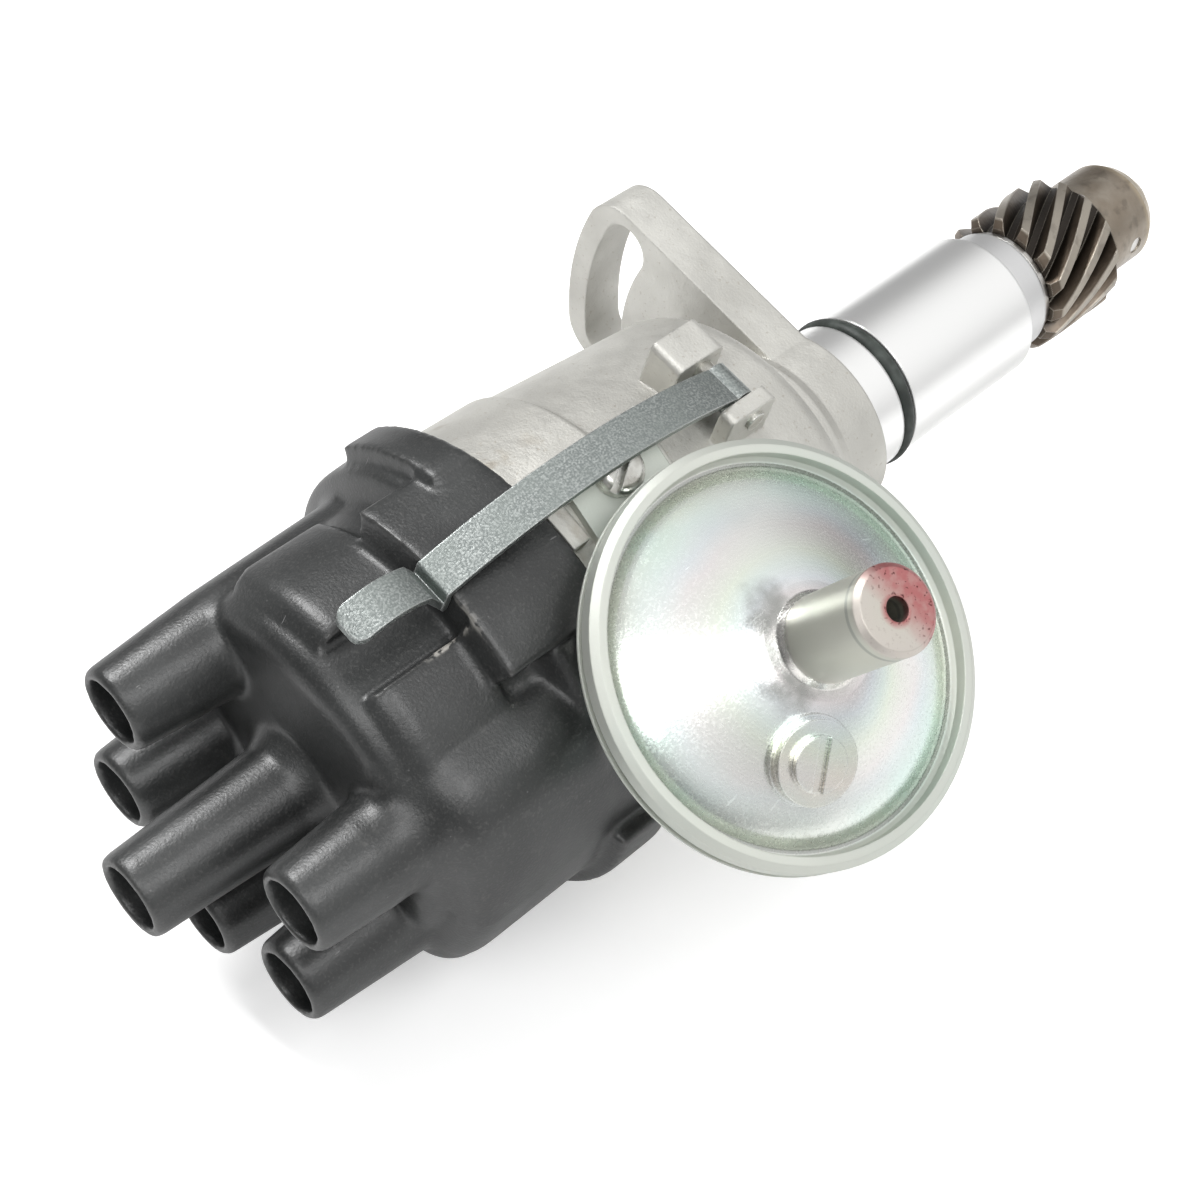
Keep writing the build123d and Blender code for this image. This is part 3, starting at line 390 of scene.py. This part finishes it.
def black_phenolic():
    made = start_finish("black_phenolic", Specular_IOR_Level=0.75)
    skin = mixed(made, fade(made, grain(made, 70, 6), 0.35, 0.70), cap_black, cap_grey)
    edge = step(made, "NewGeometry", {}).outputs["Pointiness"]
    skin = mixed(made, sums(made, "MULTIPLY", fade(made, edge, 0.515, 0.60), 0.5), skin, cap_dust)
    dust = sums(made, "MULTIPLY", fade(made, grain(made, 900, 8), 0.56, 0.74),
                fade(made, grain(made, 45, 3), 0.42, 0.66))
    skin = mixed(made, sums(made, "MULTIPLY", dust, 0.3), skin, cap_dust)
    specks = step(made, "TexVoronoi", {"Vector": spot(made), "Scale": 300.0}).outputs["Distance"]
    specks = sums(made, "MULTIPLY", fade(made, specks, 0.055, 0.03), 0.4)
    skin = mixed(made, specks, skin, cap_scuff)
    scratch = sums(made, "MULTIPLY", fade(made, grain(made, 260, 2, (0.9, 5.5, 0.35)), 0.75, 0.765),
                   fade(made, grain(made, 60, 2), 0.45, 0.6))
    skin = mixed(made, sums(made, "MULTIPLY", scratch, 0.8), skin, cap_scuff)
    from_chip = vector_value(made, "DISTANCE", spot(made), chip_place)
    chips = sums(made, "MULTIPLY", fade(made, from_chip, chip_reach, chip_core), fade(made, edge, 0.505, 0.53))
    chips = sums(made, "MULTIPLY", chips, fade(made, grain(made, 700, 4), 0.44, 0.52))
    skin = mixed(made, chips, skin, chip_tan)
    fine = grain(made, 2400, 5)
    skin = mixed(made, sums(made, "MULTIPLY", fade(made, fine, 0.50, 0.80), 0.35), skin, cap_dust)
    roughness = sums(made, "ADD", level(made, grain(made, 210, 7), 0.28, 0.42),
                     level(made, fine, -0.02, 0.10))
    return finish_surface(made, skin, roughness, None,
                          [(grain(made, 85, 3), 0.00012), (fine, 0.00005)])


phenolic = black_phenolic()
cap = moulded_copy("moulded_cap", "distributor_cap")
soften(cap, blend_share, blend_passes)
soften(cap, post_root_share, root_passes)
cap.data.materials.clear()
cap.data.materials.append(phenolic)
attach(cap, "body")
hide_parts("distributor_cap")
dress(phenolic, "brush_holder")

# --- Terminals and brush ------------------------------------------------------------------
# Turned aluminium studs moulded into the cap, and the carbon brush below the centre one.

stud_silver = (0.74, 0.74, 0.72, 1)
stud_dull = (0.40, 0.39, 0.36, 1)
carbon_black = (0.018, 0.018, 0.018, 1)
carbon_grey = (0.060, 0.060, 0.062, 1)


def turned_stud():
    made = start_finish("turned_stud", Metallic=1.0)
    rounded, rubbed = soft_edges(made, 0.0003)
    film = fade(made, grain(made, 600, 6), 0.42, 0.66)
    return finish_surface(made, mixed(made, film, stud_silver, stud_dull), level(made, film, 0.26, 0.5),
                          rounded, [(grain(made, 3000, 2, (1, 0.05, 0.05)), 0.00002)])


def pressed_carbon():
    made = start_finish("pressed_carbon", Specular_IOR_Level=0.5)
    shine = fade(made, grain(made, 1500, 4), 0.4, 0.7)
    return finish_surface(made, mixed(made, shine, carbon_black, carbon_grey),
                          level(made, shine, 0.38, 0.6), None, [(shine, 0.00002)])


dress(turned_stud(), "perimeter_terminals", "centre_terminal")
dress(pressed_carbon(), "carbon_brush")

# --- Clips and pins -------------------------------------------------------------------
# Spring steel strips, bent to a hook and a finger tab, galvanised after bending, so the
# blue-grey zinc is mottled. Each swings on a plain plated pin.

zinc_blue = (0.270, 0.295, 0.288, 1)
zinc_pale = (0.50, 0.53, 0.515, 1)
zinc_green = (0.32, 0.352, 0.335, 1)
edge_silver = (0.80, 0.82, 0.81, 1)
plate_silver = (0.74, 0.74, 0.70, 1)
plate_shadow = (0.47, 0.46, 0.42, 1)


def galvanised_spring():
    made = start_finish("galvanised_spring", Metallic=0.92)
    rounded, rubbed = soft_edges(made, 0.0003)
    spangle = fade(made, grain(made, 3200, 4), 0.38, 0.72)
    colour = mixed(made, spangle, zinc_blue, zinc_pale)
    colour = mixed(made, sums(made, "MULTIPLY", fade(made, grain(made, 190, 4), 0.40, 0.70), 0.6),
                   colour, zinc_green)
    colour = mixed(made, sums(made, "MULTIPLY", rubbed, 0.85), colour, edge_silver)
    return finish_surface(made, colour, level(made, spangle, 0.32, 0.44), rounded,
                          [(grain(made, 3200, 4), 0.00005), (grain(made, 260, 3), 0.00004)])


def bright_zinc():
    made = start_finish("bright_zinc", Metallic=1.0)
    rounded, rubbed = soft_edges(made, 0.0003)
    colour = mixed(made, fade(made, grain(made, 420, 6), 0.36, 0.68), plate_silver, plate_shadow)
    return finish_surface(made, mixed(made, rubbed, colour, edge_silver),
                          level(made, grain(made, 700, 5), 0.20, 0.38), rounded,
                          [(grain(made, 2400, 3), 0.00003)])


galvanised = galvanised_spring()
screw_zinc = bright_zinc()
dress(galvanised, "front_clip", "back_clip")
dress(screw_zinc, "front_clip_pin", "back_clip_pin", "bracket_screw", "plate_screws")

# --- Vacuum canister ------------------------------------------------------------------
# Two spun sheet cups crimped over a rubber diaphragm, with a turned boss and a staked
# plug. Clear passivation leaves a faint rainbow; the boss top keeps some red marking paint.
# Shade in its creases, dark lines at the rim groove and the boss edge, and the boss's dark reflection on the
# dome are painted into its colour.

canister_angle = radians(127.5)
canister_out = Vector((0, cos(canister_angle), sin(canister_angle)))
canister_side = Vector((0, -sin(canister_angle), cos(canister_angle)))
canister_middle = canister_out * 0.0446 + canister_side * 0.0212 + Vector((-0.0563, 0, 0))
zinc_silver = (0.92, 0.94, 0.90, 1)
zinc_grey = (0.83, 0.86, 0.82, 1)
plug_cream = (0.93, 0.90, 0.78, 1)
rainbow = [(0.0, (0.82, 0.78, 0.72, 1)), (0.2, (0.84, 0.72, 0.76, 1)), (0.4, (0.70, 0.76, 0.86, 1)),
           (0.6, (0.68, 0.83, 0.78, 1)), (0.8, (0.76, 0.85, 0.66, 1)), (1.0, (0.82, 0.78, 0.72, 1))]
paint_red = (0.42, 0.065, 0.078, 1)
paint_side = (0.975, 0.175, 0.134)
# painted shade: the dark grey that creases and the foot of the boss are darkened towards
painted_crease_shade = (0.40, 0.41, 0.38, 1)
zinc_teal = (0.70, 0.89, 0.85, 1)
# painted shade and reflection: the dark grey of the painted lines and of the boss's reflection
painted_shade_and_reflection_grey = (0.34, 0.35, 0.33, 1)
paint_fleck = (0.11, 0.035, 0.035, 1)
boss_silver = (0.59, 0.59, 0.53, 1)
# painted reflection: reach and places of the boss's dark reflection, painted onto the dome as ragged patches
reflection_reach = 0.0056
painted_boss_reflections = [
    (-0.0592, -0.0424, 0.0313), (-0.0612, -0.0448, 0.0294),
    (-0.0623, -0.0472, 0.0276), (-0.0629, -0.0498, 0.0255)]
boss_starts = 0.0088
bead_pale = (0.62, 0.64, 0.59, 1)
bead_inner_r = 0.0266
bead_roughness = 0.60
boss_gloss = 0.50
# how far the painted crease shade reaches
painted_shade_reach = 0.006
rim_tint_from_r = 0.0175
rim_tint_to_r = 0.0245
boss_top = 0.0260           # height of the boss top above the crimped rim
shade_line_drop = 0.0022           # height below the boss top of a painted dark line, standing for shade at its turned edge
paint_r = 0.0064
paint_least = 0.12
rainbow_bands = 95.0        # bands in a metre of radius
spin_lines = 2600.0         # spinning marks in a metre of radius


def from_canister(material):
    """Height over the canister's rim and distance from its axis."""
    off = vector_sum(material, "SUBTRACT", spot(material), canister_middle)
    height = vector_value(material, "DOT_PRODUCT", off, canister_out)
    rise = step(material, "VectorMath", {0: canister_out, "Scale": height}, operation="SCALE").outputs["Vector"]
    return height, vector_value(material, "LENGTH", vector_sum(material, "SUBTRACT", off, rise))


def off_by(material, value, centre):
    """How far a value is from another, either way."""
    return sums(material, "ABSOLUTE", sums(material, "SUBTRACT", value, centre))


def colour_ramp(material, value, stops):
    made = step(material, "ValToRGB", {"Fac": value})
    band = made.color_ramp.elements
    while len(band) < len(stops):
        band.new(0.5)
    for element, (place, colour) in zip(band, stops):
        element.position = place
        element.color = colour
    return made.outputs["Color"]


def marking_paint(material, height, radius):
    """How far red paint covers the boss top, and the dark flecks in it."""
    on_top = sums(material, "MULTIPLY", fade(material, height, boss_top - 0.0016, boss_top - 0.0004),
                  fade(material, radius, paint_r, paint_r - 0.0003))
    off = vector_sum(material, "SUBTRACT", spot(material), canister_middle)
    toward = vector_value(material, "DOT_PRODUCT", off, paint_side)
    wash = sums(material, "MAXIMUM", fade(material, toward, -0.0030, 0.0030),
                fade(material, radius, 0.0030, 0.0016))
    worn = fade(material, grain(material, 900, 4), 0.30, 0.66)
    wash = sums(material, "MULTIPLY", wash, level(material, worn, 0.80, 1.0))
    paint = sums(material, "MULTIPLY", on_top, sums(material, "MAXIMUM", wash, paint_least))
    return paint, sums(material, "MULTIPLY", paint, fade(material, grain(material, 1700, 4), 0.60, 0.66))


def passivated_zinc(name, tone):
    made = start_finish(name, Metallic=1.0)
    rounded, rubbed = soft_edges(made, 0.0003)
    height, radius = from_canister(made)
    phase = sums(made, "ADD", sums(made, "MULTIPLY", radius, rainbow_bands), grain(made, 34, 3))
    tint = colour_ramp(made, sums(made, "FRACT", phase), rainbow)
    silver = mixed(made, fade(made, grain(made, 80, 6), 0.36, 0.68), tone, zinc_grey)
    strength = level(made, fade(made, grain(made, 26, 3), 0.36, 0.64), 0.10, 0.50)
    colour = mixed(made, strength, silver, tint)
    near_rim = sums(made, "MULTIPLY", fade(made, radius, rim_tint_from_r, rim_tint_to_r),
                    fade(made, grain(made, 48, 5), 0.36, 0.60))
    colour = mixed(made, sums(made, "MULTIPLY", near_rim, 0.55), colour, zinc_teal)
    colour = mixed(made, sums(made, "MULTIPLY", rubbed, 0.5), colour, edge_silver)
    paint, flecks = marking_paint(made, height, radius)
    # painted shade: darker where the surface is hemmed in, in creases, the rim groove and round the boss and
    # plug
    painted_shade_ao = step(made, "AmbientOcclusion", {"Distance": painted_shade_reach}, samples=8).outputs["AO"]
    colour = mixed(made, fade(made, painted_shade_ao, 0.02, 0.58), painted_crease_shade, colour)
    boss = fade(made, height, boss_starts, boss_starts + 0.0015)
    colour = mixed(made, sums(made, "MULTIPLY", boss, 0.85), colour, boss_silver)
    # painted shade: a thin dark line round the boss a little below its top
    painted_lip_shade = fade(made, off_by(made, height, boss_top - shade_line_drop), 0.00042, 0.00018)
    colour = mixed(made, sums(made, "MULTIPLY", painted_lip_shade, 0.6), colour, painted_shade_and_reflection_grey)
    colour = mixed(made, sums(made, "MULTIPLY", paint, 0.8), colour, paint_red)
    colour = mixed(made, flecks, colour, paint_fleck)
    # painted shade: a thin dark line just inside the rim's bead, where the groove lies
    painted_groove_shade = fade(made, off_by(made, radius, bead_inner_r - 0.0004), 0.00040, 0.00012)
    colour = mixed(made, sums(made, "MULTIPLY", painted_groove_shade, 0.75), colour, painted_shade_and_reflection_grey)
    bead = fade(made, radius, bead_inner_r - 0.0002, bead_inner_r + 0.0002)
    colour = mixed(made, sums(made, "MULTIPLY", bead, 0.9), colour, bead_pale)
    below_boss = fade(made, height, boss_starts, boss_starts - 0.001)
    # painted reflection: four dark ragged patches on the dome beside the boss, standing for the boss's dark
    # reflection
    for reflection_place in painted_boss_reflections:
        ragged = sums(made, "ADD", vector_value(made, "DISTANCE", spot(made), reflection_place),
                      level(made, grain(made, 420, 6), -0.003, 0.003))
        reflection_shade = sums(made, "MULTIPLY", fade(made, ragged, reflection_reach, 0.0010), below_boss)
        colour = mixed(made, sums(made, "MULTIPLY", reflection_shade, 0.8), colour, painted_shade_and_reflection_grey)
    scratches = fade(made, grain(made, 330, 2, (0.5, 4.0, 0.7)), 0.72, 0.76)
    spun = sums(made, "MULTIPLY", radius, spin_lines)
    rings = step(made, "TexNoise", {"Scale": 1.0, "Detail": 2.0, "W": spun}, noise_dimensions="1D").outputs[0]
    haze = fade(made, grain(made, 2600, 6), 0.40, 0.70)
    roughness = sums(made, "ADD", level(made, haze, 0.22, 0.31), sums(made, "MULTIPLY", paint, 0.25))
    roughness = sums(made, "ADD", roughness, sums(made, "MULTIPLY", scratches, 0.2))
    roughness = mixed_value(made, bead, roughness, bead_roughness)
    roughness = mixed_value(made, boss, roughness, boss_gloss)
    return finish_surface(made, colour, roughness, rounded,
                          [(grain(made, 40, 2), 0.0002), (rings, 0.000005), (haze, 0.000004)])


dress(passivated_zinc("passivated_zinc", zinc_silver),
      "canister_front", "canister_rear", "canister_bracket")
dress(passivated_zinc("plug_zinc", plug_cream), "canister_plug")

# --- Advance, breaker and rotor -----------------------------------------------------------
# What the closed cap hides: plated pressings, drawn wire springs, a laminated fibre block,
# a brown moulded rotor and its brass blade.

wire_grey = (0.36, 0.36, 0.35, 1)
wire_bright = (0.60, 0.60, 0.58, 1)
press_silver = (0.60, 0.60, 0.55, 1)
press_straw = (0.56, 0.52, 0.38, 1)
rotor_brown = (0.085, 0.045, 0.022, 1)
rotor_dark = (0.045, 0.024, 0.014, 1)
brass_yellow = (0.74, 0.54, 0.22, 1)
brass_brown = (0.42, 0.27, 0.11, 1)
fibre_tan = (0.36, 0.19, 0.08, 1)
fibre_dark = (0.19, 0.09, 0.04, 1)


def mottled(name, first, second, scale, smoothest, roughest, depth, **even_values):
    """A plain workshop finish: two tones, uneven gloss, slightly rounded edges."""
    made = start_finish(name, **even_values)
    rounded, rubbed = soft_edges(made, 0.0003)
    tone = fade(made, grain(made, scale, 6), 0.36, 0.68)
    return finish_surface(made, mixed(made, tone, first, second),
                          level(made, grain(made, scale * 3, 5), smoothest, roughest), rounded,
                          [(grain(made, scale * 8, 3), depth)])


dress(mottled("spring_wire", wire_grey, wire_bright, 500, 0.24, 0.42, 0.00001, Metallic=1.0),
      "advance_springs", "breaker_spring", "return_spring")
dress(mottled("plated_pressing", press_silver, press_straw, 150, 0.26, 0.44, 0.00002, Metallic=1.0),
      "governor_plate", "fly_weight_1", "fly_weight_2", "base_plate", "breaker_plate", "breaker_arm",
      "fixed_contact", "diaphragm_piston")
dress(mottled("rotor_moulding", rotor_brown, rotor_dark, 180, 0.34, 0.54, 0.00003), "rotor_arm")
dress(mottled("blade_brass", brass_yellow, brass_brown, 260, 0.22, 0.44, 0.00002, Metallic=1.0),
      "rotor_blade")
dress(mottled("laminated_fibre", fibre_tan, fibre_dark, 700, 0.5, 0.7, 0.00004), "rubbing_block")

# --- Floor, light and camera ------------------------------------------------------------
# A pale sweep of paper, one softbox high behind the part, two more over the camera side,
# and a room that is brightest overhead.

paper = (0.90, 0.90, 0.90, 1)
floor_z = cad_box[0][2]
floor_half = 3.0
paper_glow = 0.36
room_dark = 0.22
room_bright = 0.95
room_bright_way = (0.30, -0.50, 0.81)
room_dark_at = 0.25
room_bright_at = 0.92
background_white = (1, 1, 1, 1)
softboxes = [
    ("key_box", (-0.10, 0.50, 0.75), 0.22, 5.6),
    ("front_box", (-0.45, -0.25, 0.60), 0.30, 1.2),
    ("dome_box", (-0.06, -0.44, 0.62), 0.22, 1.1)]
camera_place = Vector((-0.19992, -0.15545, 0.22508))
camera_ahead = Vector((0.47711, 0.48899, -0.73022))
camera_lens = 61.58
light_aim = Vector((-0.02, 0, 0))

bpy.ops.mesh.primitive_plane_add(size=2 * floor_half, location=(0, 0, floor_z))
floor = bpy.context.object
floor.name = "paper_floor"
sweep = bpy.data.materials.new("paper")
sweep.use_nodes = True
glow = step(sweep, "Emission", {"Color": background_white})
to_camera = step(sweep, "LightPath", {}).outputs["Is Camera Ray"]
sweep.node_tree.links.new(sums(sweep, "MULTIPLY", to_camera, paper_glow), glow.inputs["Strength"])
matt = step(sweep, "BsdfDiffuse", {"Color": paper})
both = step(sweep, "AddShader", {0: matt.outputs[0], 1: glow.outputs[0]})
sweep.node_tree.links.new(both.outputs[0], sweep.node_tree.nodes["Material Output"].inputs["Surface"])
floor.data.materials.append(sweep)

for name, place, size, power in softboxes:
    lamp = bpy.data.lights.new(name, "AREA")
    lamp.size = size
    lamp.energy = power
    holder = bpy.data.objects.new(name, lamp)
    holder.location = place
    holder.rotation_euler = (light_aim - Vector(place)).to_track_quat("-Z", "Y").to_euler()
    bpy.context.scene.collection.objects.link(holder)

room = bpy.data.worlds.new("room")
room.use_nodes = True
bpy.context.scene.world = room
look = step(room, "TexCoord", {}).outputs["Generated"]
overhead = vector_value(room, "DOT_PRODUCT", look, room_bright_way)
room_light = level(room, fade(room, overhead, room_dark_at, room_bright_at), room_dark, room_bright)
seen = step(room, "LightPath", {}).outputs["Is Camera Ray"]
air = room.node_tree.nodes["Background"]
air.inputs["Color"].default_value = background_white
shown = mixed_value(room, seen, room_light, 1.0)
room.node_tree.links.new(shown, air.inputs["Strength"])

lens = bpy.data.cameras.new("camera")
lens.lens = camera_lens
lens.sensor_width = 36.0
lens.clip_start = 0.01
camera = bpy.data.objects.new("camera", lens)
camera.location = camera_place
camera.rotation_euler = camera_ahead.to_track_quat("-Z", "Y").to_euler()
bpy.context.scene.collection.objects.link(camera)
bpy.context.scene.camera = camera
bpy.context.scene.view_settings.view_transform = "Standard"
